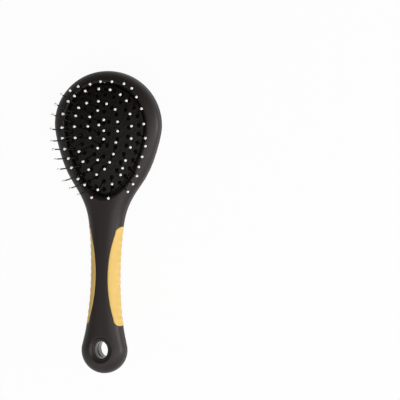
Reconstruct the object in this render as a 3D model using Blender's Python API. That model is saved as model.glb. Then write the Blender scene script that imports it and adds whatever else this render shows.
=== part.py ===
"""A double-sided pet brush: ball-tipped pins in a rubber cushion on the front, nylon tufts on the back.

Two moulded half shells meet at a parting plane and hold everything. The brush lies on its bristles, pins up,
with its handle along -Y. Local sizes run from the handle's end along Y and from the parting plane along Z,
and one empty carries them to the row frame, whose floor is the plane of the trimmed bristle tips.
"""

import math

import bmesh
import bpy
import numpy as np
from mathutils import Matrix, Vector

MM = 0.001

# Overall outline of the body, seen from the front.
HEAD_HALF_WIDTH = 38.3 * MM
HEAD_TOP_REACH = 37.3 * MM
HEAD_CENTRE_Y = 172.7 * MM
NECK_Y = 106.8 * MM
NECK_HALF_WIDTH = 12.5 * MM
WAIST_Y = 68.0 * MM
WAIST_HALF_WIDTH = 10.2 * MM
END_RADIUS = 16.1 * MM

# Half thicknesses of the body and how square its sections are.
HEAD_HALF_THICKNESS = 10.0 * MM
NECK_HALF_THICKNESS = 9.9 * MM
WAIST_HALF_THICKNESS = 9.8 * MM
END_HALF_THICKNESS = 10.2 * MM
HEAD_SQUARENESS = 3.3
NECK_SQUARENESS = 2.4
WAIST_SQUARENESS = 2.3
END_SQUARENESS = 2.6

# Walls of the two shells.
HEAD_WALL = 2.4 * MM
HANDLE_WALL = 3.6 * MM
COLLAR_WALL = 3.6 * MM
PARTING_GAP = 0.3 * MM

# Hang hole at the handle's end, with a shallow dish round its flat land in both faces.
HOLE_CENTRE_Y = 16.9 * MM
HOLE_HALF_WIDTH = 4.9 * MM
HOLE_HALF_HEIGHT = 6.1 * MM
HOLE_BOSS_WALL = 2.2 * MM
FRONT_LAND_Z = 8.2 * MM
BACK_LAND_Z = 8.1 * MM
LAND_WIDTH = 1.6 * MM
DISH_SLOPE_RUN = 2.4 * MM

# Soft grips in the handle's sides.
GRIP_CENTRE_Y = 68.3 * MM
GRIP_HALF_LENGTH = 34.7 * MM
GRIP_STRIP_HALF_WIDTH = 4.3 * MM
GRIP_EDGE_RADIUS = 102.0 * MM
GRIP_CORNER = 4.8 * MM
GRIP_DEPTH = 1.8 * MM

# Pegs that line the two shells up.
PEG_RADIUS = 1.3 * MM
PEG_LENGTH = 3.6 * MM
PEG_BOSS_RADIUS = 3.2 * MM

# Rim of the head round the pad openings, one in each face, and the groove inside it.
RIM_SIDE_WIDTH = 8.9 * MM
RIM_TOP_WIDTH = 7.7 * MM
RIM_FOOT_WIDTH = 16.9 * MM
GROOVE_DEPTH = 2.0 * MM
GROOVE_LOW_Z = 3.1 * MM
GROOVE_HIGH_Z = 5.3 * MM
RIM_LIP_Z = 7.0 * MM

# Pads: heights of their outer faces above the parting plane, and their thicknesses.
PAD_EDGE_INSET = 1.3 * MM
PAD_EDGE_Z = 6.4 * MM
CUSHION_CREST_Z = 10.6 * MM
PLATE_CREST_Z = 9.4 * MM
SKIN = 0.8 * MM
CUSHION_THICKNESS = 1.4 * MM
PLATE_THICKNESS = 2.6 * MM
FLANGE_INSET = 3.0 * MM

# Pins and their balls.
PIN_LENGTH = 17.3 * MM
PIN_RADIUS = 0.45 * MM
BALL_RADIUS = 0.9 * MM

# Bristle strands, four to a tuft.
BRISTLE_REACH = 24.0 * MM
STRAND_ROOT_RADIUS = 0.34 * MM
STRAND_TIP_RADIUS = 0.2 * MM
TUFT_OFFSET = 0.6 * MM

# Clearance between pieces that seat in each other, how far fused pieces bite and cutters run past, and
# how close points must be to count as one.
CLEARANCE = 0.3 * MM
BITE = 0.4 * MM
OVERRUN = 3.0 * MM
WELD = 0.01 * MM

# How the outline runs between its named places, as shares of the way and of the change in width.
FLARE_SHARES = ((0, 1), (0.23, 0.54), (0.51, 0.23), (0.77, 0.04), (1, 0))
GRIP_SHARES = ((0, 0), (0.28, 0.05), (0.64, 0.36), (0.82, 0.6), (1, 1))
TAPER_SHARES = (
    (0, 0),
    (0.1, 0.06),
    (0.21, 0.178),
    (0.32, 0.345),
    (0.42, 0.523),
    (0.53, 0.675),
    (0.63, 0.78),
    (0.74, 0.87),
    (0.85, 0.945),
    (1, 1),
)
END_CAP_ANGLE = math.radians(10)

# The egg that the openings, pads and rings of pins share: its lower curve's two handles, as shares.
EGG_SHARES = (0.41, 0.475)
OUTER_RING_SHARES = (0.47, 0.62)

# Rings of pins and tufts: how many, and where their roots stand, as shares of the opening.
RING_NAMES = ("outer", "second", "third", "centre")
RING_COUNTS = (30, 24, 18, 8)
RING_WIDTH_SHARES = (0.825, 0.595, 0.355, 0.127)
RING_TOP_SHARES = (0.84, 0.72, 0.49, 0.33)
RING_FOOT_SHARES = (0.9, 0.785, 0.585, 0.43)
SPINE_SHARES = (0.04, -0.22)

# How far pins and tufts at the opening's edge would lean outwards: sideways, at the top and at the foot.
PIN_LEANS = (math.radians(45), math.radians(28), math.radians(28))
TUFT_LEANS = (math.radians(17), math.radians(14), math.radians(14))
STRAND_SPLAY = math.radians(5)
STRANDS_PER_TUFT = 4

# Where a pad is cut from its middle to its edge, as shares, and where a ball is cut round its middle.
PAD_SHARES = (0.3, 0.7, 1.0)
BALL_ANGLES = (math.radians(-36), math.radians(36))

# How finely curved outlines are cut.
CAP_STEPS = 6
FLARE_STEPS = 5
GRIP_STEPS = 5
TAPER_STEPS = 8
HEAD_STEPS = 8
SECTION_STEPS = 5
EGG_STEPS = 28
HOLE_STEPS = 16
PEG_STEPS = 10
GRIP_EDGE_STEPS = 10
RING_OUTLINE_STEPS = 96
CORNER_STEPS = 3
PIN_SIDES = 4
STRAND_SIDES = 3

LENGTH = HEAD_CENTRE_Y + HEAD_TOP_REACH
OPENING_HALF_WIDTH = HEAD_HALF_WIDTH - RIM_SIDE_WIDTH
OPENING_TOP_REACH = HEAD_TOP_REACH - RIM_TOP_WIDTH
OPENING_FOOT_REACH = HEAD_CENTRE_Y - NECK_Y - RIM_FOOT_WIDTH
FRONT, BACK = 1, -1


# Scene and objects


def clear_scene():
    for obj in list(bpy.data.objects):
        bpy.data.objects.remove(obj)


def new_collection(name):
    collection = bpy.data.collections.new(name)
    bpy.context.scene.collection.children.link(collection)
    return collection


def new_empty(name, place, parent=None):
    empty = bpy.data.objects.new(name, None)
    empty.location = place
    empty.parent = parent
    PARTS.objects.link(empty)
    return empty


def new_material(name, colour, roughness, metallic=0.0):
    material = bpy.data.materials.new(name)
    material.use_nodes = True
    shader = material.node_tree.nodes["Principled BSDF"]
    shader.inputs["Base Color"].default_value = (*colour, 1)
    shader.inputs["Roughness"].default_value = roughness
    shader.inputs["Metallic"].default_value = metallic
    return material


def object_of(form, name, collection, parent):
    """The bmesh as an object in the brush's local sizes, closed and facing out."""
    bmesh.ops.recalc_face_normals(form, faces=form.faces)
    mesh = bpy.data.meshes.new(name)
    form.to_mesh(mesh)
    form.free()
    obj = bpy.data.objects.new(name, mesh)
    obj.parent = parent
    collection.objects.link(obj)
    return obj


def cutter_of(form, name):
    obj = object_of(form, name, CUTTERS, BRUSH)
    obj.hide_render = True
    obj.display_type = "WIRE"
    return obj


def part_of(form, name, material, parent=None):
    obj = object_of(form, name, PARTS, parent or BRUSH)
    obj.data.materials.append(material)
    return obj


def combine(obj, other, operation):
    modifier = obj.modifiers.new(f"{operation.lower()}_{other.name}", "BOOLEAN")
    modifier.operation = operation
    modifier.object = other


def shade_smooth(obj, angle=math.radians(35)):
    obj.data.shade_smooth()
    obj.data.set_sharp_from_angle(angle=angle)


# Outlines and lofts


def through(stations, at):
    """A smooth curve through stations (place, value), level at its far end, read at one place."""
    places, values = np.array(stations, float).T
    slopes = np.gradient(values, places)
    slopes[-1] = 0
    i = int(np.clip(np.searchsorted(places, at) - 1, 0, len(places) - 2))
    span = places[i + 1] - places[i]
    t = (at - places[i]) / span
    start = (1 + 2 * t) * (1 - t) ** 2 * values[i] + t * (1 - t) ** 2 * span * slopes[i]
    end = t * t * (3 - 2 * t) * values[i + 1] + t * t * (t - 1) * span * slopes[i + 1]
    return float(start + end)


def stretch(shares, start, end, low, high):
    """Stations from start to end along Y whose width runs between low and high by a table of shares."""
    return [(start + (end - start) * a, low + (high - low) * b) for a, b in shares]


def ellipse(half_width, half_height, centre_y, steps=HOLE_STEPS):
    turn = [math.tau * k / steps for k in range(steps)]
    return [(half_width * math.cos(a), centre_y + half_height * math.sin(a)) for a in turn]


def egg(width, top, foot, steps=EGG_STEPS, handle_shares=EGG_SHARES):
    """Points round an egg about the head's centre: a half ellipse above, a cubic curve down to its foot."""
    half = steps // 2
    side, base = handle_shares
    points = []
    for k in range(half):
        a = math.pi / 2 * (1 - 2 * k / half)
        if a >= 0:
            points.append((width * math.cos(a), top * math.sin(a)))
            continue
        t = 2 * k / half - 1
        u = 1 - t
        x = width * (u**3 + 3 * u * u * t + 3 * u * t * t * base)
        y = -foot * (3 * u * u * t * side + 3 * u * t * t + t**3)
        points.append((x, y))
    points.append((0, -foot))
    points += [(-x, y) for x, y in reversed(points[1:-1])]
    return [(x, HEAD_CENTRE_Y + y) for x, y in points]


def opening_egg(grow=0.0, steps=EGG_STEPS):
    """The opening's egg, grown or shrunk evenly."""
    return egg(OPENING_HALF_WIDTH + grow, OPENING_TOP_REACH + grow, OPENING_FOOT_REACH + grow, steps)


def pad_egg(share, grow=0.0):
    """The pad's edge scaled about the head's centre, then grown."""
    sizes = (OPENING_HALF_WIDTH, OPENING_TOP_REACH, OPENING_FOOT_REACH)
    return egg(*[(size - PAD_EDGE_INSET) * share + grow for size in sizes])


def ring_egg(ring, steps=EGG_STEPS):
    """The egg that one ring of roots stands on."""
    width = OPENING_HALF_WIDTH * RING_WIDTH_SHARES[ring]
    top, foot = OPENING_TOP_REACH * RING_TOP_SHARES[ring], OPENING_FOOT_REACH * RING_FOOT_SHARES[ring]
    return egg(width, top, foot, steps, EGG_SHARES if ring else OUTER_RING_SHARES)


def egg_between(outer, inner, share, grow=0.0):
    """Part of the way from one egg in to another, then grown from the head's centre."""
    points = []
    for (a, b), (c, d) in zip(outer, inner):
        x, y = a + (c - a) * share, b + (d - b) * share
        ray = Vector((x, y - HEAD_CENTRE_Y))
        ray *= (ray.length + grow) / ray.length
        points.append((ray.x, HEAD_CENTRE_Y + ray.y))
    return points


def on_centre(point):
    """The point, set exactly on the centre line or a middle plane where it is all but on it."""
    return [0.0 if abs(size) < WELD else size for size in point]


def loft(rings, closed=False, first_cap=True, last_cap=True):
    """Skins closed rings of points in turn, then caps the ends, or joins them where the loft is closed."""
    form = bmesh.new()
    rows = [[form.verts.new(on_centre(point)) for point in ring] for ring in rings]
    pairs = list(zip(rows, rows[1:]))
    if closed:
        pairs.append((rows[-1], rows[0]))
    for low, high in pairs:
        for k in range(len(low)):
            n = (k + 1) % len(low)
            form.faces.new((low[k], low[n], high[n], high[k]))
    if first_cap and not closed:
        form.faces.new(rows[0])
    if last_cap and not closed:
        form.faces.new(rows[-1])
    return form


def level(outline, z):
    return [(x, y, z) for x, y in outline]


def prism(outline, low, high):
    return loft([level(outline, low), level(outline, high)])


# The body's form


def side_stations():
    """The body's half widths along its side, from the end cap to the head's centre."""
    start = END_RADIUS * (1 + math.sin(END_CAP_ANGLE))
    flare = stretch(FLARE_SHARES, start, WAIST_Y, WAIST_HALF_WIDTH, END_RADIUS * math.cos(END_CAP_ANGLE))
    grip = stretch(GRIP_SHARES, WAIST_Y, NECK_Y, WAIST_HALF_WIDTH, NECK_HALF_WIDTH)
    taper = stretch(TAPER_SHARES, NECK_Y, HEAD_CENTRE_Y, NECK_HALF_WIDTH, HEAD_HALF_WIDTH)
    return flare + grip[1:] + taper[1:]


def along(end, waist, neck, head, y):
    """A size that changes along the body, given at its four named places."""
    stations = ((END_RADIUS, end), (WAIST_Y, waist), (NECK_Y, neck), (HEAD_CENTRE_Y, head))
    return through(stations, y)


def body_stations():
    """Where the body's sections stand: a point of the right outline, its place on the centre line, sizes."""
    widths = side_stations()
    places = []
    for k in range(CAP_STEPS):
        a = -math.pi / 2 + (math.pi / 2 + END_CAP_ANGLE) * k / CAP_STEPS
        places.append((END_RADIUS * math.cos(a), END_RADIUS * (1 + math.sin(a)), END_RADIUS))
    stops = (widths[0][0], WAIST_Y, NECK_Y, HEAD_CENTRE_Y)
    for start, end, steps in zip(stops, stops[1:], (FLARE_STEPS, GRIP_STEPS, TAPER_STEPS)):
        for y in np.linspace(start, end, steps, endpoint=False):
            places.append((through(widths, y), float(y), max(float(y), END_RADIUS)))
    for k in range(HEAD_STEPS + 1):
        a = math.pi / 2 * k / HEAD_STEPS
        x, y = HEAD_HALF_WIDTH * math.cos(a), HEAD_CENTRE_Y + HEAD_TOP_REACH * math.sin(a)
        places.append((x, y, HEAD_CENTRE_Y))
    return places


def body_row(angle, inset, side, base):
    """One closed ring round the body, part of the way from its outline to its centre line."""
    right = []
    for x, y, centre in body_stations():
        thickness = along(
            END_HALF_THICKNESS, WAIST_HALF_THICKNESS, NECK_HALF_THICKNESS, HEAD_HALF_THICKNESS, centre
        )
        power = along(END_SQUARENESS, WAIST_SQUARENESS, NECK_SQUARENESS, HEAD_SQUARENESS, centre)
        depth = along(inset[0], inset[0], inset[0], inset[1], centre)
        ray = Vector((x, y - centre))
        share = (ray.length - depth) / ray.length * abs(math.cos(angle)) ** (2 / power)
        z = max((thickness - depth) * math.sin(angle) ** (2 / power), base)
        right.append((ray.x * share, centre + ray.y * share, side * z))
    return right + [(-x, y, z) for x, y, z in reversed(right[1:-1])]


def section_angles():
    """The turns at which a body section is cut, from the parting plane up to the centre line."""
    return [math.pi / 2 * k / SECTION_STEPS for k in range(SECTION_STEPS + 1)]


def body_half(inset, side, base, skirt=0.0):
    """One half of the body, drawn in by a wall at the handle and at the head, flat at the parting plane."""
    rings = [body_row(a, inset, side, base) for a in section_angles()]
    if skirt:
        rings.insert(0, [(x, y, -side * skirt) for x, y, z in rings[0]])
    form = loft(rings, last_cap=False)
    bmesh.ops.remove_doubles(form, verts=form.verts, dist=WELD)
    return form


def body_whole(inset):
    """The whole body, front and back, drawn in by an inset."""
    back = [body_row(a, (inset, inset), BACK, 0.0) for a in reversed(section_angles())]
    front = [body_row(a, (inset, inset), FRONT, 0.0) for a in section_angles()[1:]]
    form = loft(back + front, first_cap=False, last_cap=False)
    bmesh.ops.remove_doubles(form, verts=form.verts, dist=WELD)
    return form


# Shells


def side_name(side):
    return "front" if side == FRONT else "back"


def hole_outline(grow):
    return ellipse(HOLE_HALF_WIDTH + grow, HOLE_HALF_HEIGHT + grow, HOLE_CENTRE_Y)


def hole_cutter(side):
    """The hang hole and its dish: a flat land round the hole, then a slope out to the face."""
    land = FRONT_LAND_Z if side == FRONT else BACK_LAND_Z
    rings = [
        level(hole_outline(0.0), -side * OVERRUN),
        level(hole_outline(0.0), side * land),
        level(hole_outline(LAND_WIDTH), side * land),
        level(hole_outline(LAND_WIDTH + DISH_SLOPE_RUN), side * (land + DISH_SLOPE_RUN)),
    ]
    return cutter_of(loft(rings), f"{side_name(side)}_hang_hole")


def opening_cutter(side):
    """The opening for a pad, whose rim slopes evenly out to the face from a lip just above the pad's edge."""
    slope = HEAD_HALF_THICKNESS + OVERRUN - RIM_LIP_Z
    rings = [
        level(opening_egg(), -side * OVERRUN),
        level(opening_egg(), side * RIM_LIP_Z),
        level(opening_egg(slope), side * (RIM_LIP_Z + slope)),
    ]
    return cutter_of(loft(rings), f"{side_name(side)}_opening")


def core_cutter(side):
    """The space inside a shell, less the collar round its pad, the boss round the hole and the peg bosses."""
    name = side_name(side)
    core = cutter_of(body_half((HANDLE_WALL, HEAD_WALL), side, 0.0, OVERRUN), f"{name}_core")
    reach = HEAD_HALF_THICKNESS + OVERRUN
    collar = cutter_of(prism(opening_egg(COLLAR_WALL), -reach, reach), f"{name}_collar")
    boss = cutter_of(prism(hole_outline(HOLE_BOSS_WALL), -reach, reach), f"{name}_hole_boss")
    for kept in (collar, boss):
        combine(core, kept, "DIFFERENCE")
    for k, y in enumerate(peg_places()):
        outline = ellipse(PEG_BOSS_RADIUS, PEG_BOSS_RADIUS, y, PEG_STEPS)
        boss = cutter_of(prism(outline, -reach, reach), f"{name}_peg_boss_{k + 1}")
        combine(core, boss, "DIFFERENCE")
    return core


def peg_places():
    """Along the handle: past the hole's boss, and at the neck below the head's collar."""
    low = HOLE_CENTRE_Y + HOLE_HALF_HEIGHT + HOLE_BOSS_WALL + PEG_BOSS_RADIUS + CLEARANCE
    return (low + PEG_BOSS_RADIUS, WAIST_Y, NECK_Y)


def grip_outline(grow, side_x):
    """The window of one grip in the front view: a bowed inner edge with round corners, open past the side."""
    half = GRIP_HALF_LENGTH + grow
    edge = GRIP_EDGE_RADIUS + grow
    bow = []
    straight = half - GRIP_CORNER
    for k in range(GRIP_EDGE_STEPS + 1):
        y = straight * (2 * k / GRIP_EDGE_STEPS - 1)
        bow.append((GRIP_STRIP_HALF_WIDTH - grow + edge - math.sqrt(edge**2 - y**2), y))
    corner = []
    x, y = bow[-1]
    for k in range(1, CORNER_STEPS + 1):
        a = math.pi / 2 * k / CORNER_STEPS
        corner.append((x + GRIP_CORNER * (1 - math.cos(a)), y + GRIP_CORNER * math.sin(a)))
    far = HEAD_HALF_WIDTH
    top = corner + [(far, half)]
    points = [(a, -b) for a, b in reversed(top)] + bow + top
    return [(side_x * a, GRIP_CENTRE_Y + b) for a, b in points]


def grip_window(grow, side_x, name):
    reach = HEAD_HALF_THICKNESS + OVERRUN
    return cutter_of(prism(grip_outline(grow, side_x), -reach, reach), name)


def grip_recess(side_x, name):
    """What is cut from the shells for a grip: its window, down to the grip's depth."""
    recess = grip_window(0.0, side_x, f"{name}_recess")
    combine(recess, HANDLE_CORE, "DIFFERENCE")
    return recess


def add_pegs(shell, side):
    """Front pegs stand out past the parting plane. Back bosses are bored to take them."""
    for k, y in enumerate(peg_places()):
        if side == FRONT:
            outline = ellipse(PEG_RADIUS, PEG_RADIUS, y, PEG_STEPS)
            peg = cutter_of(prism(outline, -PEG_LENGTH, PARTING_GAP + BITE), f"peg_{k + 1}")
            combine(shell, peg, "UNION")
        else:
            radius = PEG_RADIUS + CLEARANCE
            outline = ellipse(radius, radius, y, PEG_STEPS)
            bore = cutter_of(prism(outline, -PEG_LENGTH - CLEARANCE, OVERRUN), f"peg_bore_{k + 1}")
            combine(shell, bore, "DIFFERENCE")


def make_shell(side, material):
    name = side_name(side)
    shell = part_of(body_half((0.0, 0.0), side, PARTING_GAP / 2), f"{name}_shell", material)
    opening = opening_cutter(side)
    low, high = sorted((side * GROOVE_LOW_Z, side * GROOVE_HIGH_Z))
    groove = cutter_of(prism(opening_egg(GROOVE_DEPTH), low, high), f"{name}_groove")
    for cutter in (core_cutter(side), opening, groove, hole_cutter(side), *GRIP_RECESSES):
        combine(shell, cutter, "DIFFERENCE")
    add_pegs(shell, side)
    shade_smooth(shell)
    return shell


def make_grip(side_x, name, material):
    """A soft grip: the outer skin of the handle inside its window, less the handle that it is moulded on."""
    grip = part_of(body_whole(0.0), name, material)
    combine(grip, grip_window(-CLEARANCE, side_x, f"{name}_window"), "INTERSECT")
    combine(grip, GRIP_BED, "DIFFERENCE")
    shade_smooth(grip)
    return grip


# Pads


def dome_z(share, crest):
    """Height of a pad's outer face, at a share of the way from the head's centre to the pad's edge."""
    return PAD_EDGE_Z + (crest - PAD_EDGE_Z) * (1 - share**2)


def make_pad(name, material, crest, thickness, side):
    """A domed pad under its skin, with a skirt down to a flange that sits in the shell's groove."""
    top = -SKIN - CLEARANCE
    flange_low, flange_high = GROOVE_LOW_Z + CLEARANCE, GROOVE_HIGH_Z - CLEARANCE
    rings = [level(pad_egg(s), side * (dome_z(s, crest) + top)) for s in PAD_SHARES]
    rings += [
        level(opening_egg(-PAD_EDGE_INSET / 2), side * flange_high),
        level(opening_egg(GROOVE_DEPTH - CLEARANCE), side * flange_high),
        level(opening_egg(GROOVE_DEPTH - CLEARANCE), side * flange_low),
        level(opening_egg(-FLANGE_INSET), side * flange_low),
    ]
    for s in reversed(PAD_SHARES[:-1]):
        rings.append(level(pad_egg(s), side * (dome_z(s, crest) + top - thickness)))
    pad = part_of(loft(rings), name, material)
    shade_smooth(pad)
    return pad


def lean(ring, normal, leans):
    """The direction in which the pins or tufts of a ring leave the pad, out along the ring's normal."""
    sideways, top, foot = leans
    share = RING_WIDTH_SHARES[ring]
    along_y = top if normal[1] > 0 else foot
    across = share * math.tan(sideways) * normal[0]
    return Vector((across, share * math.tan(along_y) * normal[1], 1.0)).normalized()


def ring_roots(ring):
    """Roots of one ring and its normals there, evenly spaced round its egg from its top."""
    points = np.array(ring_egg(ring, RING_OUTLINE_STEPS)) - (0, HEAD_CENTRE_Y)
    run = np.roll(points, -1, axis=0) - np.roll(points, 1, axis=0)
    normals = np.stack((-run[:, 1], run[:, 0]), axis=1) / np.linalg.norm(run, axis=1)[:, None]
    points = np.vstack((points, points[:1]))
    normals = np.vstack((normals, normals[:1]))
    walked = np.concatenate(([0], np.cumsum(np.linalg.norm(np.diff(points, axis=0), axis=1))))
    roots = []
    for stop in walked[-1] * np.arange(RING_COUNTS[ring]) / RING_COUNTS[ring]:
        x, y, across, up = (float(np.interp(stop, walked, v)) for v in (*points.T, *normals.T))
        roots.append((x, y, (across, up)))
    if RING_NAMES[ring] == "centre":
        roots += [(0.0, OPENING_FOOT_REACH * share, (0.0, 0.0)) for share in SPINE_SHARES]
    return roots


def share_at(x, y):
    """How far a point lies from the head's centre to the pad's edge."""
    reach = OPENING_TOP_REACH if y > 0 else OPENING_FOOT_REACH
    return math.hypot(x / (OPENING_HALF_WIDTH - PAD_EDGE_INSET), y / (reach - PAD_EDGE_INSET))


def skin_band(ring, crest, side):
    """One band of a pad's outer skin, which carries a ring of pins or tufts."""
    own = ring_egg(ring)
    if ring == 0:
        edges = [pad_egg(1.0)]
    else:
        edges = [egg_between(ring_egg(ring - 1), own, 0.5, -CLEARANCE)]
    if ring + 1 < len(RING_NAMES):
        edges.append(egg_between(own, ring_egg(ring + 1), 0.5))
    else:
        edges.append([(x / 2, HEAD_CENTRE_Y + (y - HEAD_CENTRE_Y) / 2) for x, y in own])
    tops = [skin_row(edge, crest, side, 0.0) for edge in edges]
    lows = [skin_row(edge, crest, side, SKIN) for edge in edges]
    if ring + 1 < len(RING_NAMES):
        return loft(tops + lows[::-1], closed=True)
    return loft([*reversed(tops), *lows])


def skin_row(outline, crest, side, depth):
    """An outline laid on a pad's dome, or at a depth under it."""
    points = []
    for x, y in outline:
        share = share_at(x, y - HEAD_CENTRE_Y)
        points.append((x, y, side * (dome_z(share, crest) - depth)))
    return points


def pin_profile():
    """Half of a pin's outline, from its foot in the skin to the top of its ball."""
    neck = PIN_LENGTH - BALL_RADIUS
    points = [(PIN_RADIUS, -BITE), (PIN_RADIUS, neck - BALL_RADIUS * 0.9)]
    for a in BALL_ANGLES:
        points.append((BALL_RADIUS * math.cos(a), neck + BALL_RADIUS * math.sin(a)))
    return points


def pin_form():
    rings = []
    for radius, height in pin_profile():
        turn = [math.tau * (k + 0.5) / PIN_SIDES for k in range(PIN_SIDES)]
        rings.append([(radius * math.cos(a), radius * math.sin(a), height) for a in turn])
    return loft(rings)


def strand_form(root, direction, start_z, side):
    """One strand from inside the pad's skin to the trimmed face, whose end is flat."""
    form = bmesh.new()
    length = (BRISTLE_REACH - start_z + BITE) / direction.z
    bmesh.ops.create_cone(
        form,
        cap_ends=True,
        segments=STRAND_SIDES,
        radius1=STRAND_ROOT_RADIUS,
        radius2=STRAND_TIP_RADIUS,
        depth=length,
        matrix=Matrix.Translation((0, 0, length / 2)),
    )
    turn = Vector((0, 0, 1)).rotation_difference(direction).to_matrix().to_4x4()
    foot = Vector((root[0], HEAD_CENTRE_Y + root[1], start_z - BITE))
    bmesh.ops.transform(form, matrix=Matrix.Translation(foot) @ turn, verts=form.verts)
    middle = (start_z + BRISTLE_REACH) / 2
    for vert in form.verts:
        if vert.co.z > middle:
            vert.co += direction * ((BRISTLE_REACH - vert.co.z) / direction.z)
        vert.co.z *= side
    return form


def pins_of(ring):
    """All pins of one ring, in one mesh."""
    together = bmesh.new()
    pin = pin_form()
    shape = bpy.data.meshes.new("pin")
    pin.to_mesh(shape)
    pin.free()
    for x, y, normal in ring_roots(ring):
        direction = lean(ring, normal, PIN_LEANS)
        foot = Vector((x, HEAD_CENTRE_Y + y, dome_z(share_at(x, y), CUSHION_CREST_Z)))
        turn = Vector((0, 0, 1)).rotation_difference(direction).to_matrix().to_4x4()
        copy = bmesh.new()
        copy.from_mesh(shape)
        bmesh.ops.transform(copy, matrix=Matrix.Translation(foot) @ turn, verts=copy.verts)
        add_form(together, copy)
    return together


def add_form(together, form):
    mesh = bpy.data.meshes.new("piece")
    bmesh.ops.recalc_face_normals(form, faces=form.faces)
    form.to_mesh(mesh)
    form.free()
    together.from_mesh(mesh)
    bpy.data.meshes.remove(mesh)


def tufts_of(ring):
    """All strands of one ring of tufts, in one mesh: four to a tuft, each splayed its own way."""
    together = bmesh.new()
    for x, y, normal in ring_roots(ring):
        out = lean(ring, normal, TUFT_LEANS)
        for k in range(STRANDS_PER_TUFT):
            a = math.tau * (k + 0.5) / STRANDS_PER_TUFT
            away = Vector((math.cos(a), math.sin(a), 0.0))
            direction = (out + away * math.tan(STRAND_SPLAY)).normalized()
            root = (x + TUFT_OFFSET * away.x, y + TUFT_OFFSET * away.y)
            start = dome_z(share_at(*root), PLATE_CREST_Z)
            add_form(together, strand_form(root, direction, start, BACK))
    return together


def make_ring(ring, side, material, parent):
    """A band of a pad's skin with its ring of pins or tufts fused to it."""
    crest = CUSHION_CREST_Z if side == FRONT else PLATE_CREST_Z
    kind = "pins" if side == FRONT else "bristles"
    name = f"{RING_NAMES[ring]}_{kind}"
    band = part_of(skin_band(ring, crest, side), name, material)
    standing = pins_of(ring) if side == FRONT else tufts_of(ring)
    combine(band, cutter_of(standing, f"{name}_strands"), "UNION")
    keep_world_place(band, parent)
    shade_smooth(band)
    return band


def keep_world_place(obj, parent):
    """Hangs obj on a parent empty whose origin is on its joint's axis, without moving it."""
    if parent:
        obj.parent = parent
        obj.location = -parent.location


# Assembly

clear_scene()
PARTS = new_collection("double_sided_pet_brush")
CUTTERS = new_collection("cutters")
BRUSH = new_empty("brush", (0, -LENGTH / 2, BRISTLE_REACH))
PIN_AXIS = new_empty("pin_field_axis", (0, HEAD_CENTRE_Y, 0), BRUSH)

BLACK = new_material("black_shell", (0.028, 0.025, 0.025), 0.45)
YELLOW = new_material("yellow_grip", (0.9, 0.6, 0.2), 0.55)
RUBBER = new_material("black_rubber", (0.015, 0.013, 0.012), 0.6)
STEEL = new_material("pin_steel", (0.55, 0.55, 0.55), 0.3, 1.0)
NYLON = new_material("black_nylon", (0.01, 0.01, 0.01), 0.4)

HANDLE_CORE = cutter_of(body_whole(GRIP_DEPTH), "handle_under_grips")
GRIP_BED = cutter_of(body_whole(GRIP_DEPTH - CLEARANCE), "bed_of_grips")
GRIP_RECESSES = [grip_recess(1, "right_grip"), grip_recess(-1, "left_grip")]

make_shell(FRONT, BLACK)
make_shell(BACK, BLACK)
make_grip(1, "right_grip", YELLOW)
make_grip(-1, "left_grip", YELLOW)
make_pad("pin_cushion", RUBBER, CUSHION_CREST_Z, CUSHION_THICKNESS, FRONT)
make_pad("bristle_plate", BLACK, PLATE_CREST_Z, PLATE_THICKNESS, BACK)
for number in range(len(RING_NAMES)):
    make_ring(number, FRONT, STEEL, PIN_AXIS)
    make_ring(number, BACK, NYLON, None)
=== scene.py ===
"""A double-sided pet brush: ball-tipped pins in an air cushion on one face, nylon tufts behind.

Sizes are in millimetres. Y runs from the handle's end, and Z from the plane where the shells part.
"""

import math

import bmesh
import bpy
import numpy as np
from mathutils import Matrix, Vector


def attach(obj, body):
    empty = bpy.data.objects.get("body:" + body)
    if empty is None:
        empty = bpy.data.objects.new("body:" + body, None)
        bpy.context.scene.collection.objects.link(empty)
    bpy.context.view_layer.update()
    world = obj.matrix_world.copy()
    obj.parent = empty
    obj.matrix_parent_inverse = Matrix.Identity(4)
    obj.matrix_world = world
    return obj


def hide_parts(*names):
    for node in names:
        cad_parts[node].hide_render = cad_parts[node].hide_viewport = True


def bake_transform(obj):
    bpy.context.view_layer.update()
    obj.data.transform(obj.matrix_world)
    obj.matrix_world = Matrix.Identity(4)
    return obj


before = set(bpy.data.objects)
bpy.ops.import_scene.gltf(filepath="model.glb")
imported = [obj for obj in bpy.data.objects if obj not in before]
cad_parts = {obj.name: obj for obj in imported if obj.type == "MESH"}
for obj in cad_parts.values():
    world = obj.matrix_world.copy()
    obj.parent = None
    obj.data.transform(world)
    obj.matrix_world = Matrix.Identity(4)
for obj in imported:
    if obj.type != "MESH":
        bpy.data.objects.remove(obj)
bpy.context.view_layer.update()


# Front shell: half of the moulded body, black polypropylene with a fine satin grain.
# Rim, neck, handle and the dish round the hang hole come out of the mould as one piece.
# A tongue inside its parting edge closes the seam, and pegs inside hold it to the back shell.

MM = 0.001
BODY_LENGTH = 210.0
BRISTLE_REACH = 24.0
FRONT, BACK = 1, -1

END_RADIUS = 16.1
# The round end goes on for this many degrees past its widest place.
END_TURN = 10
WAIST = (68.0, 10.2)
NECK = (106.8, 12.5)
HEAD_CENTRE = 172.7
HEAD_HALF_WIDTH, HEAD_TOP_REACH = 38.3, 37.3
# The side's run from one width to the next: shares of the way, and of the change in width.
FLARE_SHARES = ((0, 1), (0.23, 0.54), (0.51, 0.23), (0.77, 0.04), (1, 0))
GRIP_SHARES = ((0, 0), (0.28, 0.05), (0.64, 0.36), (0.82, 0.6), (1, 1))
TAPER_SHARES = (
    (0, 0), (0.1, 0.06), (0.21, 0.178), (0.32, 0.345), (0.42, 0.523),
    (0.53, 0.675), (0.63, 0.78), (0.74, 0.87), (0.85, 0.945), (1, 1),
)
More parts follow.
